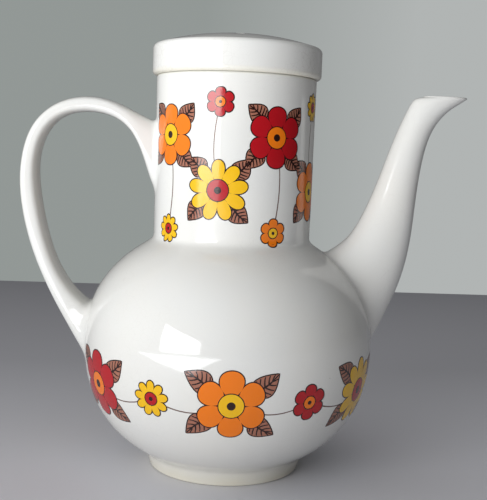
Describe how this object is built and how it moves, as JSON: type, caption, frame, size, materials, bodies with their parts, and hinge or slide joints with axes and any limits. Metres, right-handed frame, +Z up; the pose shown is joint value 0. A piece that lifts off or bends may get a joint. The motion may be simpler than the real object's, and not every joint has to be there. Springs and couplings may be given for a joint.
{
  "type": "coffee pot",
  "caption": "Glazed ceramic coffee pot with a round bowl, straight neck, curved spout, strap handle and a lift-off cap lid, for brewing and pouring hot drinks.",
  "frame": {"origin": "the pot's axis where it meets the table", "axes": "+Z up along the pot's axis, +X towards the spout, -X towards the handle"},
  "size_m": [0.2293, 0.1498, 0.2241],
  "materials": {
    "glaze": "glossy off-white glaze",
    "lid_glaze": "glossy off-white glaze, finely crazed",
    "enamel": "glossy fired enamel in orange, red, yellow and brown"
  },
  "bodies": {
    "pot": {"bowl_lower": "glaze", "bowl_upper": "glaze", "neck": "glaze", "spout": "glaze", "handle": "glaze", "neck_transfer": "enamel", "belly_transfer": "enamel"},
    "lid": {"lid": "lid_glaze"}
  },
  "joints": [
    {"name": "lid_lift", "type": "slide", "parent": "pot", "child": "lid", "axis": [0, 0, 1], "range_m": [0, 0.06]}
  ]
}
